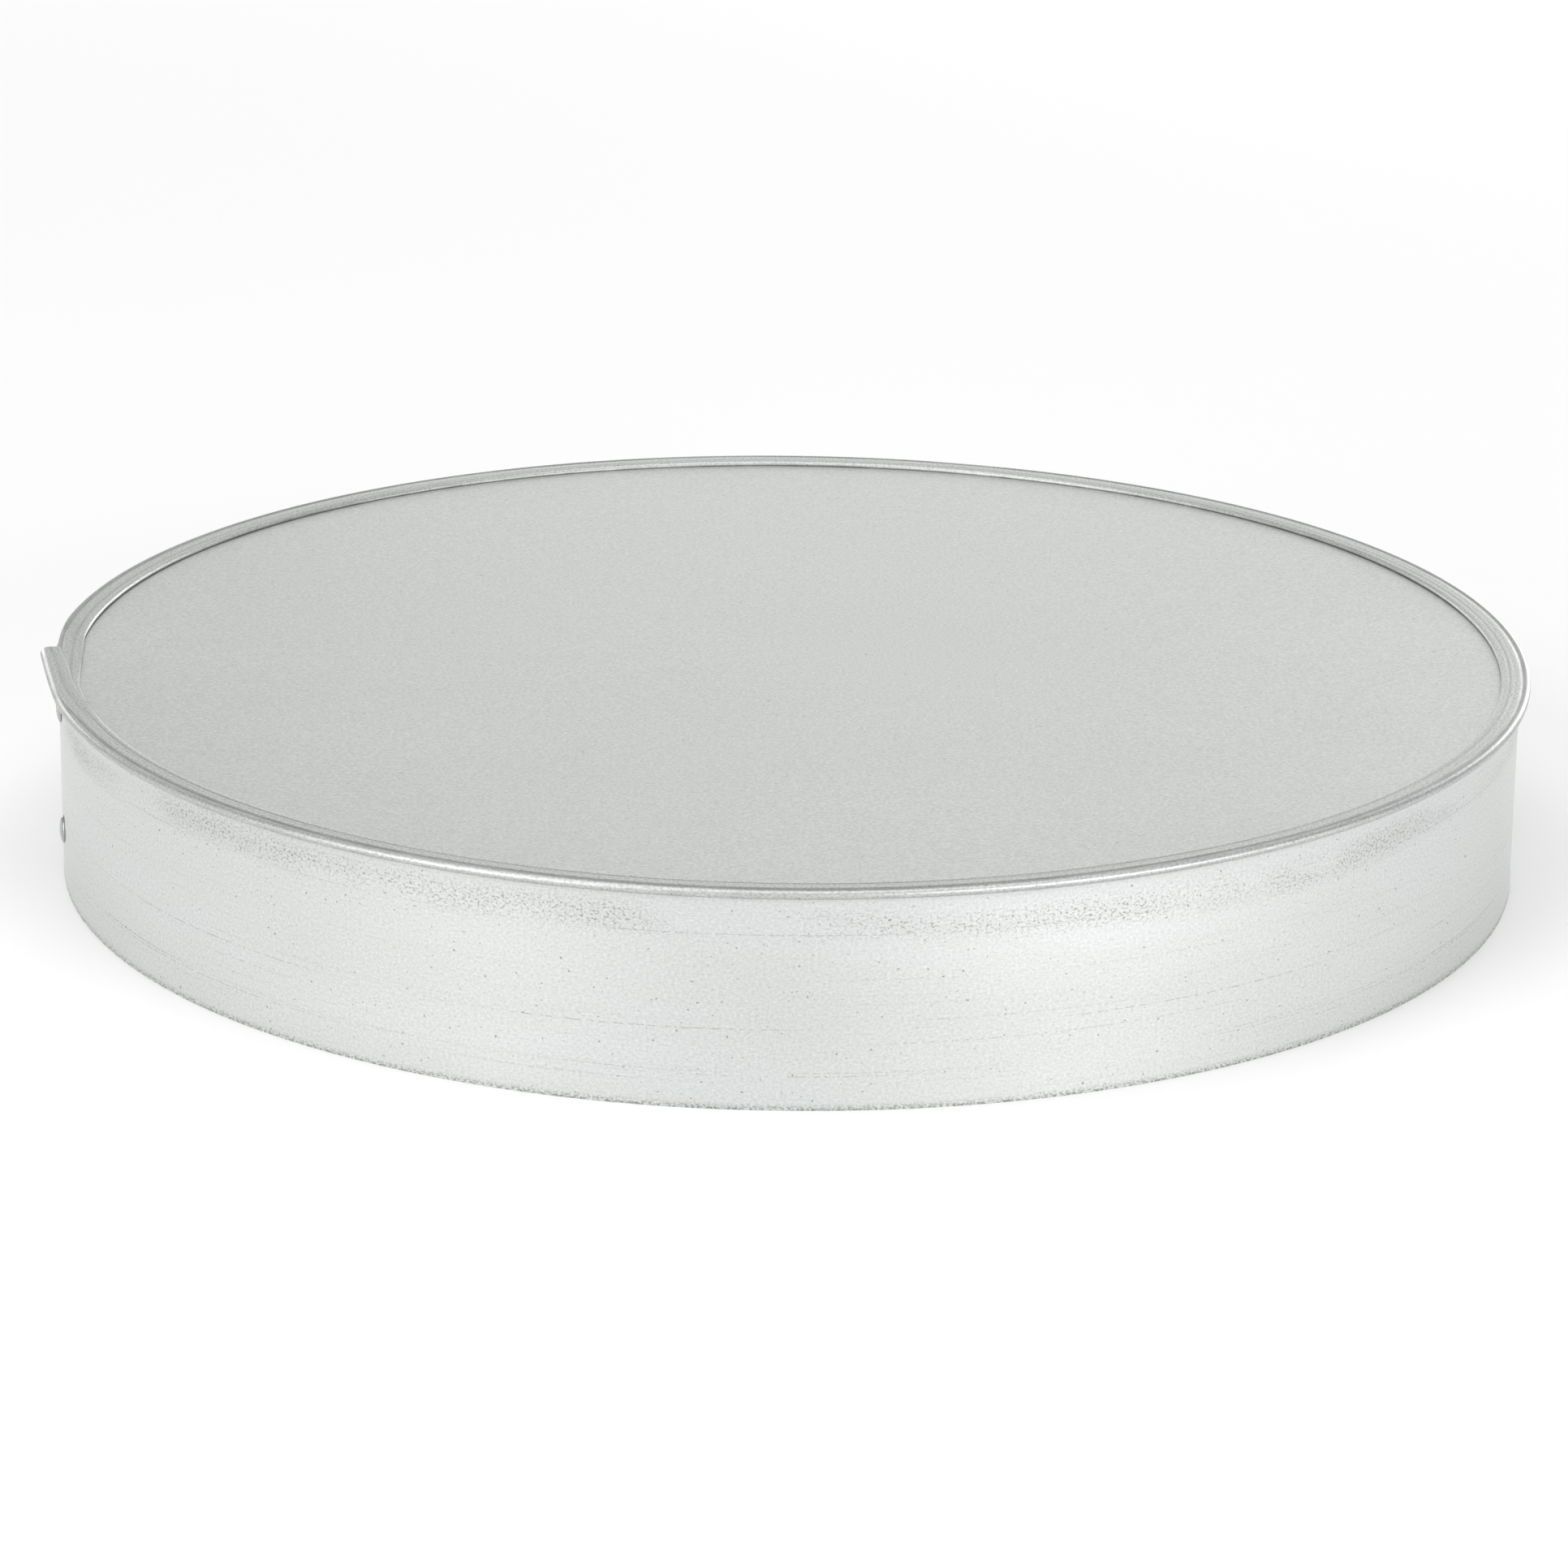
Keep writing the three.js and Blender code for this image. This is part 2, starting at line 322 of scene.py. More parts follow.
def strip_section(azimuth):
    s = strip_shape(azimuth)
    top = PAN_HEIGHT - s.top
    under = PAN_HEIGHT - s.bottom
    foot = wall_foot(azimuth)
    in_bend = (s.wall + BEND_RADIUS, under - BEND_RADIUS)
    out_bend = BEND_RADIUS + SHEET
    lip_half = (s.bottom - s.top) / 2
    lip_centre = (s.lip - lip_half, (top + under) / 2)
    in_half = lip_half - SHEET
    turn = (s.shoulder + SHOULDER_RUN, top - s.drop)
    heights = spread(foot, in_bend[1], WALL_ROWS)[1:-1]
    across = spread(lip_centre[0], turn[0], TOP_COLUMNS)[1:-1]
    front = [(s.wall - BURR, foot), (s.wall, foot + BURR)]
    front += [(s.wall, z) for z in heights]
    front += arc(in_bend, BEND_RADIUS, BEND_RADIUS, 180, 90, BEND_STEPS)
    front += arc(lip_centre, lip_half, lip_half, -90, 90, LIP_STEPS)
    front += [(r, top - rim_relief(r, azimuth, s)) for r in across]
    front += arc(turn, SHOULDER_RUN, s.drop, 90, 180, SHOULDER_STEPS)
    wall_in = s.wall - SHEET
    back = [(wall_in + BURR, foot), (wall_in, foot + BURR)]
    back += [(wall_in, z) for z in heights]
    back += arc(in_bend, out_bend, out_bend, 180, 90, BEND_STEPS)
    back += arc(lip_centre, in_half, in_half, -90, 90, LIP_STEPS)
    back += [(r, top - SHEET) for r in across]
    back += arc(turn, SHOULDER_RUN - SHEET, s.drop - SHEET, 90, 180, SHOULDER_STEPS)
    return front, back


def strip_azimuths():
    stretches = (
        (TAB_END, TAB_END + 0.6, 14),
        (TAB_END + 0.6, OUTER_WALL_END - 1.2, 20),
        (OUTER_WALL_END - 1.2, OUTER_WALL_END, 16),
        (OUTER_WALL_END, NEST_EASE[1] + 2, 60),
        (NEST_EASE[1] + 2, JOGGLE[0] + 358, 400),
        (JOGGLE[0] + 358, INNER_END + 360, 90),
    )
    azimuths = [TAB_END]
    for start, end, steps in stretches:
        azimuths += spread(start, end, steps)[1:]
    return azimuths


def rolled_wall():
    wall = sweep_sheet("rolled_wall", strip_azimuths(), strip_section)
    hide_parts("wall_band")
    return wall


# The disc ------------------------------------------------------------------------------------

# How far the stretched sheet sags, in millimetres, the share of it that is even, the scale of
# the rest, and how far inside the shoulder it starts
DISC_SAG = 0.35
SAG_STEADY = 0.6
SAG_SCALE = 0.012
SAG_MARGIN = 4
DISC_SIDES = 240
DISC_ROWS = 48


def disc_radius(azimuth):
    """The disc's edge, trimmed back where it meets the lap."""
    begun = ramp(azimuth, JOGGLE[0] - 2, JOGGLE[0])
    ended = ramp(azimuth, INNER_END, NEST_EASE[0])
    return WALL_RADIUS + DISC_ENGAGEMENT - DISC_TRIM * begun * (1 - ended)


def disc_sag(point):
    """The slight unevenness of the stretched sheet, in millimetres, never above its edge."""
    from_edge = 1 - min(1.0, point.length / (SHOULDER_RADIUS - SAG_MARGIN))
    return -DISC_SAG * from_edge * (SAG_STEADY + noise.noise(point * SAG_SCALE))


def floor_disc():
    sides, rows = DISC_SIDES, DISC_ROWS
    points, faces = [], []
    for side, level in ((1, DISC_HIGH.z), (-1, DISC_LOW.z)):
        points.append(Vector((0, 0, level + disc_sag(Vector((0, 0, 0))))))
        for row in range(1, rows + 1):
            for i in range(sides):
                azimuth = 360 * i / sides
                flat = polar(disc_radius(azimuth) * row / rows, azimuth, 0)
                points.append(flat + Vector((0, 0, level + disc_sag(flat))))
    half = 1 + rows * sides
    for i in range(sides):
        j = (i + 1) % sides
        faces.append((0, 1 + i, 1 + j))
        faces.append((half, half + 1 + j, half + 1 + i))
        for row in range(rows - 1):
            a, b = 1 + row * sides, 1 + (row + 1) * sides
            faces.append((a + i, b + i, b + j, a + j))
            faces.append((half + a + j, half + b + j, half + b + i, half + a + i))
        rim = 1 + (rows - 1) * sides
        faces.append((rim + i, half + rim + i, half + rim + j, rim + j))
    disc = new_piece("floor_disc", points, faces)
    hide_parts("base_disc")
    return disc


# Sealing compound ----------------------------------------------------------------------------

# How far the bead's free edges stray, how much its edges thin out, and how far it stays inside
# the fold; how far the film's edges stray, and how quickly they do round the pan
BEAD_WANDER = 0.3
BEAD_ROUNDING = 0.1
BEAD_MARGIN = 1
FILM_WANDER = 0.5
FILM_PACE = 9


def seam_bead():
    """The flat bead in the fold, a little uneven along its free edges."""
    inner = SHOULDER_RADIUS + SHOULDER_RUN + BEAD_MARGIN
    outer = LIP_RADIUS - SHEET - BEAD_MARGIN

    def section(azimuth):
        near = inner + BEAD_WANDER * (1 + wander(azimuth, 9, 1))
        far = outer - BEAD_WANDER * (1 - wander(azimuth, 9, 4))
        across = spread(near, far, 6)
        rounding = [BEAD_ROUNDING * abs(i - 3) / 3 for i in range(7)]
        front = [(r, BEAD_LOW.z + cut) for r, cut in zip(across, rounding)]
        back = [(r, BEAD_HIGH.z - cut) for r, cut in zip(across, rounding)]
        return front, back

    bead = sweep_sheet("seam_bead", spread(NEST_EASE[1] + 1, JOGGLE[0] + 357, 240), section)
    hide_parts("seam_sealant")
    return bead


def lap_film():
    """The thin film between the two lapped walls."""
    gap = LAYER_STEP - SHEET
    outer = WALL_RADIUS - SHEET - (gap - FILM_THICKNESS) / 2
    inner = outer - FILM_THICKNESS

    def section(azimuth):
        low = FILM_LOW.z + FILM_WANDER * (1 + wander(azimuth * FILM_PACE, 2, 3))
        high = FILM_HIGH.z - FILM_WANDER * (1 - wander(azimuth * FILM_PACE, 2, 8))
        levels = spread(low, high, 12)
        return [(outer, z) for z in levels], [(inner, z) for z in levels]

    film = sweep_sheet("lap_film", spread(OUTER_WALL_END + 0.5, INNER_END - 1, 24), section)
    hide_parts("lap_sealant")
    return film


# Rivets --------------------------------------------------------------------------------------

GRIP = LAYER_STEP + SHEET + HAIR
# The angle up the dome where its arc stops, how far from the bore its points stay, and the steps
# in each of the rivet's arcs
DOME_END = 76
BORE_LIP = 0.2
ROUND_STEPS = 14
RIVET_SIDES = 72
# The mandrel's ball: its radius and half its height; and how far out its broken end reaches
BALL_RADIUS = TAIL_RADIUS * 0.62
BALL_HALF = 0.9
BROKEN_END = 0.5
MANDREL_SIDES = 40


def rivet_profile():
    crown = HEAD_SEAT + HEAD_HEIGHT
    dome = arc((0, HEAD_SEAT), HEAD_RADIUS, HEAD_HEIGHT, 0, DOME_END, ROUND_STEPS)
    dome = [point for point in dome if point[0] > BORE_RADIUS + BORE_LIP]
    tail = arc((SHANK_RADIUS, -GRIP - TAIL_LENGTH / 2), TAIL_RADIUS - SHANK_RADIUS,
               TAIL_LENGTH / 2, -90, 90, ROUND_STEPS)
    start = (BORE_RADIUS, -GRIP - TAIL_LENGTH)
    return [
        start,
        *tail,
        (SHANK_RADIUS, HEAD_SEAT),
        (HEAD_RADIUS - 0.1, HEAD_SEAT),
        *dome,
        (BORE_RADIUS + 0.25, crown - 0.05),
        (BORE_RADIUS + 0.08, crown - 0.12),
        (BORE_RADIUS, crown - 0.3),
        start,
    ]


def mandrel_profile():
    tip = -GRIP - TAIL_LENGTH - HAIR
    ball = arc((0, tip - BALL_HALF), BALL_RADIUS, BALL_HALF, -90, 60, 12)
    return [
        (0, tip - 2 * BALL_HALF),
        *ball[1:],
        (MANDREL_RADIUS, tip),
        (MANDREL_RADIUS, BROKEN_END - 0.12),
        (MANDREL_RADIUS * 0.8, BROKEN_END),
        (MANDREL_RADIUS * 0.35, BROKEN_END - 0.18),
        (0, BROKEN_END - 0.1),
    ]


def rivets():
    made = []
    for place in RIVETS:
        low, high = in_mm(f"rivet_body_{place}")
        height = (low.z + high.z) / 2
        body = turned_piece(f"rivet_{place}", rivet_profile(), height, RIVET_SIDES)
        stem = turned_piece(f"mandrel_{place}", mandrel_profile(), height, MANDREL_SIDES)
        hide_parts(f"rivet_body_{place}")
        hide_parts(f"rivet_mandrel_{place}")
        made += [(body, stem)]
    return made


# Materials -----------------------------------------------------------------------------------

# The zinc's grey is a little green, and in places a little cooler
ZINC_TINT = (0.979, 1.0, 0.968)
COOL_TINT = (0.976, 1.0, 0.985)


def grey(level, tint=ZINC_TINT):
    return (*(level * c for c in tint), 1.0)


class Shader:
    """A material whose nodes are made by short calls; a value is a number or a socket."""

    def __init__(self, name, **fixed):
        self.material = bpy.data.materials.new(name)
        self.material.use_nodes = True
        self.tree = self.material.node_tree
        self.surface = self.tree.nodes["Principled BSDF"]
        for socket, value in fixed.items():
            self.surface.inputs[socket.replace("_", " ")].default_value = value

    def put(self, socket, value):
        if isinstance(value, bpy.types.NodeSocket):
            self.tree.links.new(value, socket)
        elif value is not None:
            socket.default_value = value

    def node(self, kind, inputs=(), **settings):
        made = self.tree.nodes.new("ShaderNode" + kind)
        for name, value in settings.items():
            setattr(made, name, value)
        for key, value in dict(inputs).items():
            self.put(made.inputs[key], value)
        return made

    def math(self, operation, a, b=None, c=None):
        made = self.node("Math", operation=operation)
        for socket, value in zip(made.inputs, (a, b, c)):
            self.put(socket, value)
        return made.outputs[0]

    def scaled(self, vector, scale, shift=(0, 0, 0)):
        made = self.node("VectorMath", {0: vector, 1: scale, 2: shift}, operation="MULTIPLY_ADD")
        return made.outputs[0]

    def noise(self, vector, scale, detail, roughness=0.5):
        made = self.node("TexNoise", {"Vector": vector, "Scale": scale, "Detail": detail,
                                      "Roughness": roughness})
        return made.outputs["Fac"]

    def fit(self, value, low, high, to_low=0.0, to_high=1.0, kind="SMOOTHSTEP"):
        made = self.node("MapRange", {"Value": value, "From Min": low, "From Max": high,
                                      "To Min": to_low, "To Max": to_high},
                         interpolation_type=kind)
        return made.outputs["Result"]

    def blend(self, share, a, b, kind="MIX"):
        made = self.node("Mix", data_type="RGBA", blend_type=kind)
        for name, value in (("Factor_Float", share), ("A_Color", a), ("B_Color", b)):
            socket = next(s for s in made.inputs if s.identifier == name)
            self.put(socket, value)
        return next(s for s in made.outputs if s.identifier == "Result_Color")

    def darken(self, colour, where, share, level):
        """Mixes up to a share of a darker grey into the colour, where the mask is 1."""
        return self.blend(self.math("MULTIPLY", where, share), colour, grey(level))

    def relief(self, height, distance, strength):
        made = self.node("Bump", {"Height": height, "Distance": distance, "Strength": strength})
        return made.outputs["Normal"]

    def finish(self, colour=None, roughness=None, normal=None):
        for name, value in (("Base Color", colour), ("Roughness", roughness), ("Normal", normal)):
            if value is not None:
                self.put(self.surface.inputs[name], value)
        return self.material


# Scales of the strip's noises: waves per metre along it and across it, and the step between its
# two faces
GRAIN_SCALE = (1100, 1500, 10)
SPECK_SCALE = (1200, 1500, 10)
PIT_SCALE = (800, 900, 10)
CLOUD_SCALE = (9, 30, 5)
STREAK_SCALE = (8, 900, 5)
PATCH_SCALE = (13, 40, 0)
BAND_DRIFT_SCALE = (7, 0, 0)
MARK_DRIFT_SCALE = (6, 20, 0)
MARK_STRETCH_SCALE = (14, 300, 0)
MARK_DASH_SCALE = (900, 300, 0)
RIM_DRIFT_SCALE = (12, 0, 0)
RIM_PATCH_SCALE = (70, 0, 0)
# Scales of the disc's noises, in waves per metre
DISC_GRAIN_SCALE = (1100, 1500, 1100)
DISC_CLOUD_SCALE = (14, 20, 14)
DISC_PIT_SCALE = (450, 450, 450)

# How much of each kind of dark mark shows at most, and the grey that it darkens to
STREAK_MARK = (0.16, 0.45)
SPECK_MARK = (0.85, 0.2)
BAND_HAZE = (0.2, 0.5)
PIT_MARK = (0.75, 0.2)
ROLL_MARK = (1.0, 0.12)
CUT_EDGE_MARK = (0.8, 0.18)
RIM_SPECK_MARK = (0.4, 0.3)
DISC_PIT_MARK = (0.4, 0.35)

# The speckled band round the wall: its lowest middle height, how far it drifts up from there,
# its half-width and the half-width of its full core, in millimetres
BAND_BASE = 43.5
BAND_DRIFT = 12
BAND_HALF_WIDTH = 6.5
BAND_CORE = 0.5
# The share of specks that shows in the band and elsewhere
SPECKS_IN_BAND = 0.9
SPECKS_ELSEWHERE = 0.06
# The height of the stained strip above the cut edge, in millimetres
EDGE_STAIN = 2.2
# How much rougher the band and the rim are than the rest
BAND_ROUGHER = 0.08
RIM_ROUGHER = 0.05
# The rim's specks and extra roughness are gone at the first of these distances from the fold's
# edge, and full at the second, in millimetres
RIM_END = 14
RIM_FULL = 11
# The grain's height, in millimetres, and how deep the roll marks are against it
GRAIN_RELIEF = 0.03
MARK_RELIEF = -1.5

# Heights on the wall, in millimetres, where the rolls left long fine marks, and how dark each is
ROLL_MARKS = ((7.3, 0.35), (9.2, 0.4), (10.1, 0.65), (17.5, 0.3), (21.4, 0.5), (23.5, 0.25),
              (28.0, 0.25), (34.5, 0.35), (46.6, 0.5))
# A mark's half-width, and how far it strays up or down, in millimetres
MARK_WIDTH = 0.17
MARK_DRIFT = 0.6


def roll_marks(sh, height, strip):
    """Thin broken lines at the marks' heights, from 0 to 1."""
    drift = sh.noise(sh.scaled(strip, MARK_DRIFT_SCALE), 1.0, 1.0)
    lowered = sh.math("SUBTRACT", height, MARK_DRIFT * MM)
    level = sh.math("MULTIPLY_ADD", drift, 2 * MARK_DRIFT * MM, lowered)
    lines = sh.node("ValToRGB", {0: sh.math("DIVIDE", level, PAN_HEIGHT * MM)})
    ramp_stops = lines.color_ramp.elements
    ramp_stops[1].color = (0, 0, 0, 1)
    for mark, dark in ROLL_MARKS:
        for off, shade in ((-MARK_WIDTH, 0), (0, dark), (MARK_WIDTH, 0)):
            ramp_stops.new((mark + off) / PAN_HEIGHT).color = (shade, shade, shade, 1)
    stretch = sh.noise(sh.scaled(strip, MARK_STRETCH_SCALE, (0, 0, 2)), 1.0, 2.0)
    dashes = sh.noise(sh.scaled(strip, MARK_DASH_SCALE, (0, 0, 4)), 1.0, 1.0)
    broken = sh.math("MULTIPLY", sh.fit(stretch, 0.42, 0.6), sh.fit(dashes, 0.4, 0.56))
    return sh.math("MULTIPLY", lines.outputs["Color"], broken)


# Distance from the folded edge, in millimetres, and how much the rim is darkened there, where 1 is
# the
# plain sheet: painted shade in the crack at the disc, in the rolled grooves and under the lip, with
# some dirt, and the shoulder's and lip's round faces painted darker to dim their highlights. The
# values were set until the rim looked like the photo's
RIM_SHADE_AND_DIRT = ((0, 0.2), (0.22, 0.3), (0.45, 0.75), (1.1, 0.85), (1.5, 1), (2.4, 1), (2.8, 0.78),
             (3.3, 0.82), (3.7, 1), (5.8, 1), (6.4, 0.6), (7.3, 0.62), (7.9, 0.88),
             (9.2, 0.82), (10.8, 0.82), (11.6, 0.6), (13.2, 0.5), (14, 0.9), (15, 1))
# How far that painted shade and dirt strays across the rim, in millimetres, and how weak and strong
# its patches are
RIM_DRIFT = 1.0
RIM_PATCHES = (0.6, 1.15)


def rim_shade_and_dirt(sh, strip, fold):
    """How much painted shade and some dirt darken the rim: the same tones all round, a little patchy.
    """
    drift = sh.noise(sh.scaled(strip, RIM_DRIFT_SCALE, (0, 7, 0)), 1.0, 3.0)
    place = sh.math("MULTIPLY_ADD", sh.math("SUBTRACT", drift, 0.5), RIM_DRIFT * MM, fold)
    reach = RIM_SHADE_AND_DIRT[-1][0]
    tones = sh.node("ValToRGB", {0: sh.math("DIVIDE", place, reach * MM)})
    stops = tones.color_ramp.elements
    for stop, (distance, tone) in zip(stops, (RIM_SHADE_AND_DIRT[0], RIM_SHADE_AND_DIRT[-1])):
        stop.color = (tone, tone, tone, 1)
    for distance, tone in RIM_SHADE_AND_DIRT[1:-1]:
        stops.new(distance / reach).color = (tone, tone, tone, 1)
    patchy = sh.noise(sh.scaled(strip, RIM_PATCH_SCALE, (0, 9, 0)), 1.0, 4.0, 0.7)
    change = sh.math("SUBTRACT", tones.outputs["Color"], 1.0)
    return sh.math("MULTIPLY_ADD", change, sh.fit(patchy, 0.25, 0.75, *RIM_PATCHES), 1.0)


def clean_strip(sh, strip, grain, cloud):
    """The clean sheet's colour: clouds, grain, and streaks along the roll."""
    streak = sh.noise(sh.scaled(strip, STREAK_SCALE), 1.0, 3.0, 0.6)
    colour = sh.blend(sh.fit(cloud, 0.35, 0.65), grey(0.68), grey(0.70, COOL_TINT))
    colour = sh.blend(1.0, colour, sh.fit(grain, 0.3, 0.7, 0.87, 1.12, "LINEAR"), "MULTIPLY")
    return sh.darken(colour, sh.fit(streak, 0.55, 0.8), *STREAK_MARK)


def speckled_band(sh, strip, height):
    """The broken band round the wall where the specks are thick, from 0 to 1."""
    drift = sh.noise(sh.scaled(strip, BAND_DRIFT_SCALE, (3, 0, 0)), 1.0, 1.0)
    centre = sh.math("MULTIPLY_ADD", drift, BAND_DRIFT * MM, BAND_BASE * MM)
    away = sh.math("ABSOLUTE", sh.math("SUBTRACT", height, centre))
    band = sh.fit(away, BAND_HALF_WIDTH * MM, BAND_CORE * MM)
    patches = sh.noise(sh.scaled(strip, PATCH_SCALE, (9, 2, 0)), 1.0, 3.0)
    return sh.math("MULTIPLY", band, sh.fit(patches, 0.4, 0.58))


def strip_material():
    sh = Shader("galvanised_strip", Metallic=1.0, Roughness=0.42)
    strip = sh.node("Attribute", attribute_name="blank").outputs["Vector"]
    fold = sh.node("Attribute", attribute_name="fold").outputs["Fac"]
    height = sh.node("SeparateXYZ", {0: strip}).outputs["Y"]
    grain = sh.noise(sh.scaled(strip, GRAIN_SCALE), 1.0, 3.0, 0.7)
    cloud = sh.noise(sh.scaled(strip, CLOUD_SCALE), 1.0, 4.0, 0.55)
    specks = sh.noise(sh.scaled(strip, SPECK_SCALE, (5, 5, 5)), 1.0, 2.0, 0.7)
    pits = sh.noise(sh.scaled(strip, PIT_SCALE, (1, 8, 2)), 1.0, 1.0)
    band = speckled_band(sh, strip, height)
    marks = roll_marks(sh, height, strip)
    on_rim = sh.fit(fold, RIM_END * MM, RIM_FULL * MM)
    near_edge = sh.fit(height, EDGE_STAIN * MM, 0.0)
    spotted = sh.math("MULTIPLY_ADD", band, SPECKS_IN_BAND, SPECKS_ELSEWHERE)
    spotted = sh.math("MULTIPLY", spotted, sh.fit(specks, 0.5, 0.66))
    edge_specks = sh.math("MULTIPLY", near_edge, sh.fit(specks, 0.42, 0.6))
    rim_specks = sh.math("MULTIPLY", on_rim, sh.fit(specks, 0.45, 0.62))

    colour = clean_strip(sh, strip, grain, cloud)
    colour = sh.darken(colour, spotted, *SPECK_MARK)
    colour = sh.darken(colour, band, *BAND_HAZE)
    colour = sh.darken(colour, sh.fit(pits, 0.7, 0.78), *PIT_MARK)
    colour = sh.darken(colour, marks, *ROLL_MARK)
    colour = sh.darken(colour, edge_specks, *CUT_EDGE_MARK)
    # Painted shade with some dirt: darker in the crack, the grooves and under the lip, and the
    # shoulder and lip painted darker to dim their highlights
    colour = sh.blend(1.0, colour, rim_shade_and_dirt(sh, strip, fold), "MULTIPLY")
    colour = sh.darken(colour, rim_specks, *RIM_SPECK_MARK)

    rough = sh.fit(cloud, 0.3, 0.7, 0.39, 0.45)
    rough = sh.math("MULTIPLY_ADD", band, BAND_ROUGHER, rough)
    rough = sh.math("MULTIPLY_ADD", on_rim, RIM_ROUGHER, rough)
    relief = sh.math("MULTIPLY_ADD", marks, MARK_RELIEF, grain)
    return sh.finish(colour, rough, sh.relief(relief, GRAIN_RELIEF * MM, 0.6))


def disc_material():
    sh = Shader("galvanised_disc", Metallic=1.0, Roughness=0.5)
    place = sh.node("TexCoord").outputs["Object"]
    grain = sh.noise(sh.scaled(place, DISC_GRAIN_SCALE), 1.0, 3.0, 0.7)
    cloud = sh.noise(sh.scaled(place, DISC_CLOUD_SCALE), 1.0, 4.0, 0.55)
    pits = sh.noise(sh.scaled(place, DISC_PIT_SCALE, (4, 1, 2)), 1.0, 1.0)
    colour = sh.blend(sh.fit(cloud, 0.3, 0.7), grey(0.69), grey(0.70))
    colour = sh.blend(1.0, colour, sh.fit(grain, 0.3, 0.7, 0.84, 1.16, "LINEAR"), "MULTIPLY")
    colour = sh.darken(colour, sh.fit(pits, 0.74, 0.8), *DISC_PIT_MARK)
    rough = sh.fit(cloud, 0.3, 0.7, 0.46, 0.5)
    rough = sh.math("MULTIPLY_ADD", sh.fit(grain, 0.3, 0.7), 0.05, rough)
    return sh.finish(colour, rough, sh.relief(grain, GRAIN_RELIEF * MM, 0.6))


def rivet_material(name, level, roughness):
    sh = Shader(name, Metallic=1.0, Roughness=roughness)
    place = sh.node("TexCoord").outputs["Object"]
    grain = sh.noise(place, 2500.0, 3.0, 0.6)
    smear = sh.noise(place, 420.0, 3.0, 0.5)
    colour = sh.blend(sh.fit(smear, 0.35, 0.65), grey(level * 0.85), grey(level))
    rough = sh.fit(smear, 0.3, 0.7, roughness - 0.06, roughness + 0.08)
    return sh.finish(colour, rough, sh.relief(grain, 0.02 * MM, 0.5))


def compound_material():
    sh = Shader("sealing_compound", Metallic=0.0, Roughness=0.7)
    place = sh.node("TexCoord").outputs["Object"]
    lumps = sh.noise(place, 300.0, 4.0, 0.6)
    colour = sh.blend(sh.fit(lumps, 0.3, 0.7), grey(0.24), grey(0.33))
    return sh.finish(colour, sh.fit(lumps, 0.3, 0.7, 0.6, 0.8), sh.relief(lumps, 0.1 * MM, 0.7))


def floor_material():
    sh = Shader("pale_floor", Metallic=0.0, Roughness=0.8)
    sh.surface.inputs["Specular IOR Level"].default_value = 0.0
    return sh.finish((0.9, 0.9, 0.9, 1.0))


def paint(piece, material):
    piece.data.materials.clear()
    piece.data.materials.append(material)


# The object ----------------------------------------------------------------------------------

def build_pan():
    strip, disc, compound = strip_material(), disc_material(), compound_material()
    rivet = rivet_material("rivet_steel", level=0.5, roughness=0.25)
    stem = rivet_material("mandrel_steel", level=0.3, roughness=0.35)
    pieces = [(rolled_wall(), strip), (floor_disc(), disc), (seam_bead(), compound),
              (lap_film(), compound)]
    for body, broken_stem in rivets():
        pieces += [(body, rivet), (broken_stem, stem)]
    for piece, material in pieces:
        paint(piece, material)
        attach(piece, "root")


# Camera, floor and light ---------------------------------------------------------------------

# The camera's place and lens come from a fit to the pan's outlines as the photo shows them:
# metres, degrees, and the lens and the sensor's width in millimetres
CAMERA_DISTANCE = 1.6268
CAMERA_ELEVATION = 18.98
CAMERA_ROLL = 0.66
CAMERA_LENS = 131.9
SENSOR_WIDTH = 36
AIM = Vector((-0.0011, 0, 0.0185))
FLOOR_REACH = 9.0


def add_camera():
    data = bpy.data.cameras.new("camera")
    data.lens = CAMERA_LENS
    data.sensor_width = SENSOR_WIDTH
    camera = bpy.data.objects.new("camera", data)
    elevation = math.radians(CAMERA_ELEVATION)
    place = Vector((0, -math.cos(elevation), math.sin(elevation))) * CAMERA_DISTANCE
    forward = (AIM - place).normalized()
    level = forward.cross(Vector((0, 0, 1))).normalized()
    upright = level.cross(forward)
    roll = math.radians(CAMERA_ROLL)
    right = level * math.cos(roll) + upright * math.sin(roll)
    up = right.cross(forward)
    turn = Matrix((right, up, -forward)).transposed()
    camera.matrix_world = Matrix.Translation(place) @ turn.to_4x4()
    bpy.context.scene.collection.objects.link(camera)
    bpy.context.scene.camera = camera


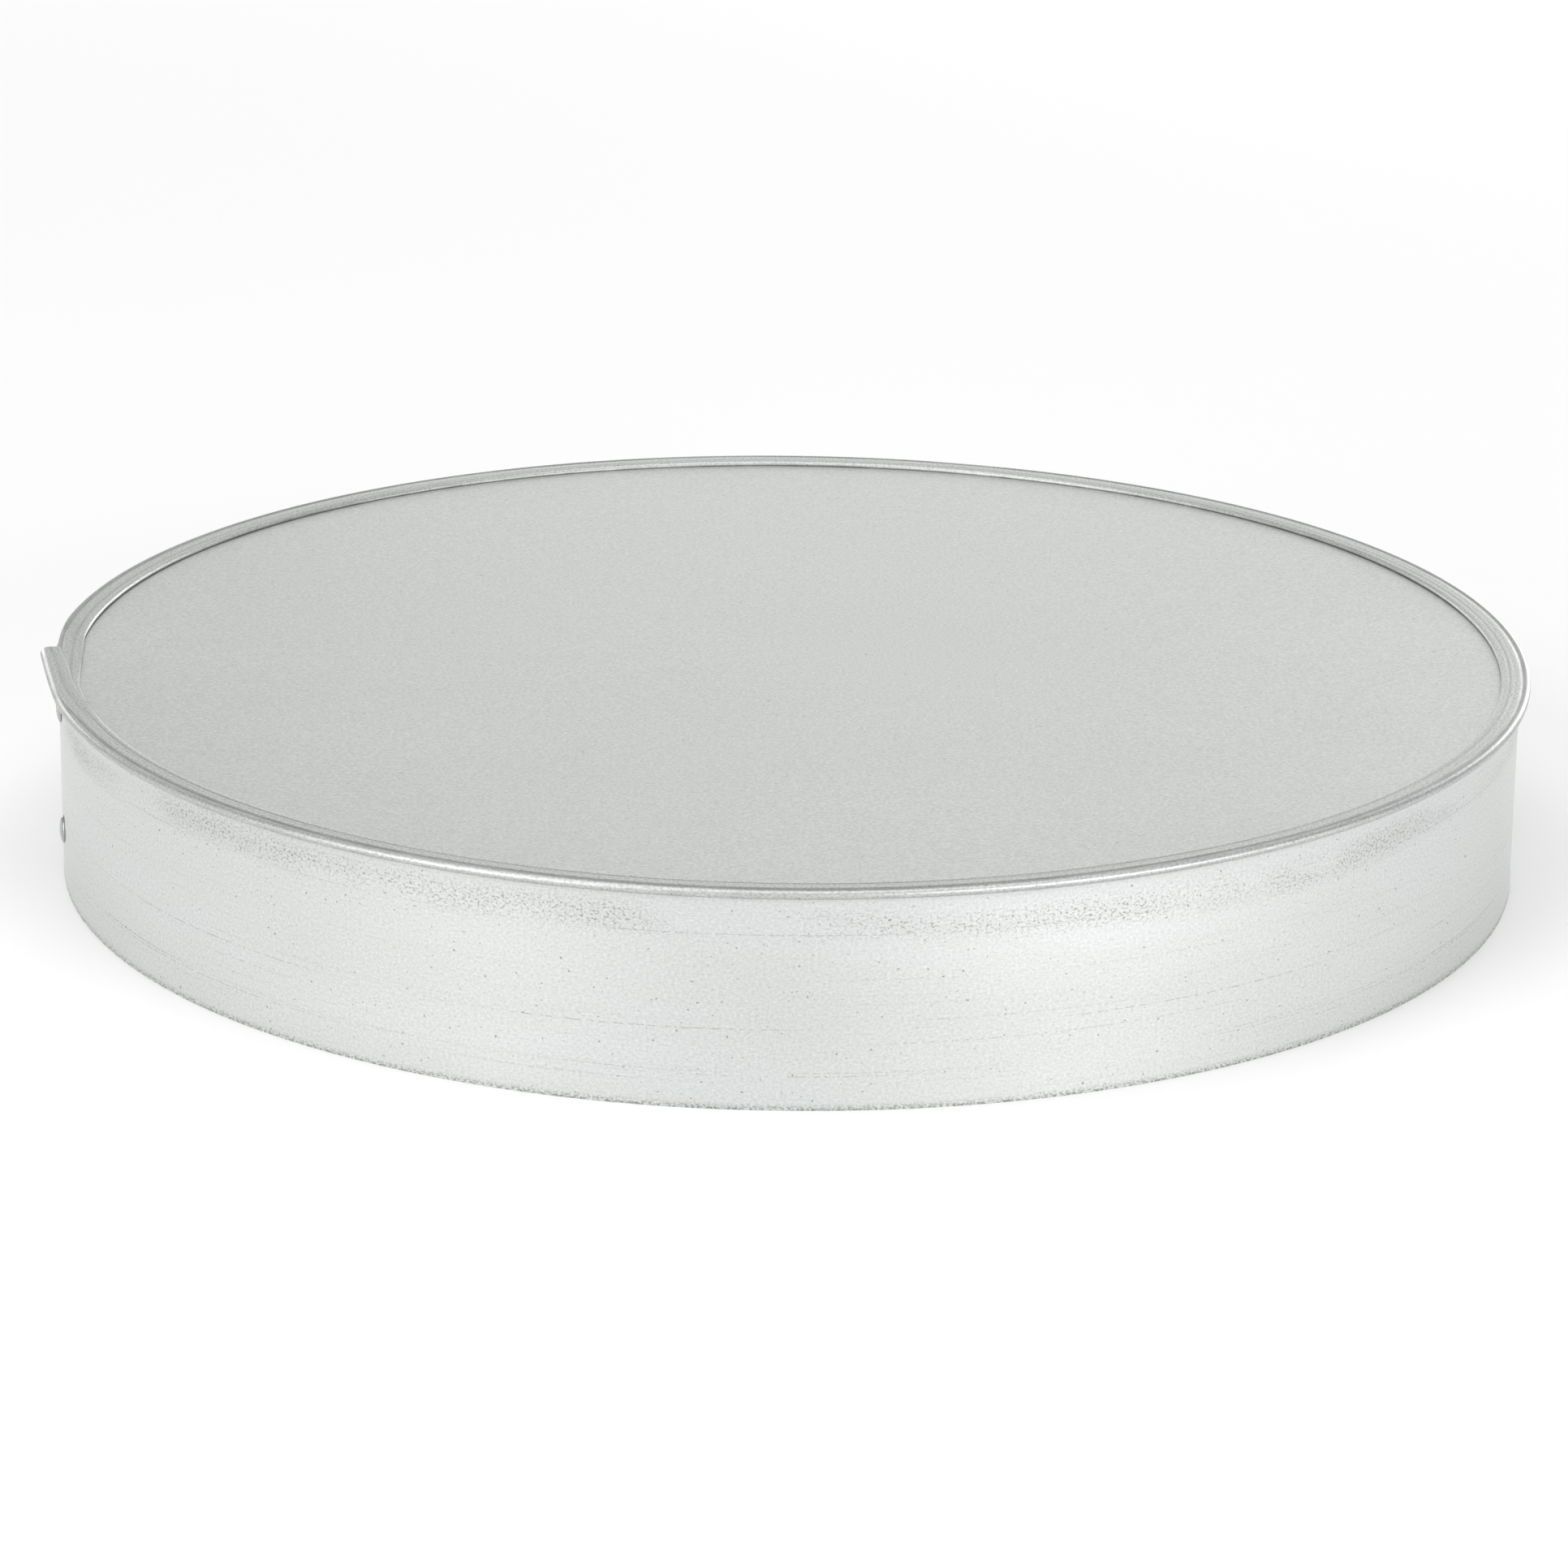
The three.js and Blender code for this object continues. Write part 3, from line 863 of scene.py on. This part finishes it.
def add_floor():
    mesh = bpy.data.meshes.new("floor")
    corners = [(x * FLOOR_REACH, y * FLOOR_REACH, 0) for x, y in ((-1, -1), (1, -1), (1, 1), (-1, 1))]
    mesh.from_pydata(corners, [], [(0, 1, 2, 3)])
    floor = bpy.data.objects.new("floor", mesh)
    bpy.context.scene.collection.objects.link(floor)
    paint(floor, floor_material())


# The studio's softboxes: name, azimuth, elevation, width, height and radiance, in degrees and
# metres, with azimuth 0 on the camera's side. The radiances started as a fit of one-light
# renders to the photo's tones, and were then rounded and adjusted
SOFTBOX_DISTANCE = 2.5
SOFTBOXES = (
    ("left_front", -46, 12, 1.3, 0.95, 4.0),
    ("left_front_high", -45, 36, 1.8, 0.95, 2.5),
    ("right_front", 38, 12, 1.3, 0.95, 5.5),
    ("right_side", 67, 12, 1.3, 0.95, 2.0),
    ("left_side", -90, 12, 1.3, 0.95, 0.75),
    ("left_back", -147, 12, 0.8, 0.95, 3.0),
    ("right_back", 151, 12, 0.85, 0.95, 6.5),
    ("back", 180, 12, 0.9, 0.95, 1.0),
    ("overhead", 0, 80, 2.5, 2.5, 1.3),
)
# The strength of the even light that surrounds the studio
SURROUND = 0.5


def add_softbox(name, azimuth, elevation, width, height, radiance):
    """A rectangular soft light that faces the pan and doesn't show itself."""
    data = bpy.data.lights.new(name, "AREA")
    data.shape = "RECTANGLE"
    data.size = width
    data.size_y = height
    data.energy = radiance * math.pi * width * height
    lamp = bpy.data.objects.new(name, data)
    away = math.radians(azimuth)
    up = math.radians(elevation)
    level = math.cos(up)
    towards = Vector((math.sin(away) * level, -math.cos(away) * level, math.sin(up)))
    lamp.location = towards * SOFTBOX_DISTANCE
    lamp.rotation_euler = (-towards).to_track_quat("-Z", "Y").to_euler()
    lamp.visible_camera = False
    bpy.context.scene.collection.objects.link(lamp)


def add_light():
    world = bpy.data.worlds.new("studio")
    world.use_nodes = True
    world.node_tree.nodes["Background"].inputs["Strength"].default_value = SURROUND
    world.node_tree.nodes["Background"].inputs["Color"].default_value = (1, 1, 1, 1)
    bpy.context.scene.world = world
    for softbox in SOFTBOXES:
        add_softbox(*softbox)


add_camera()
build_pan()
add_floor()
add_light()
bpy.context.scene.view_settings.view_transform = "Standard"
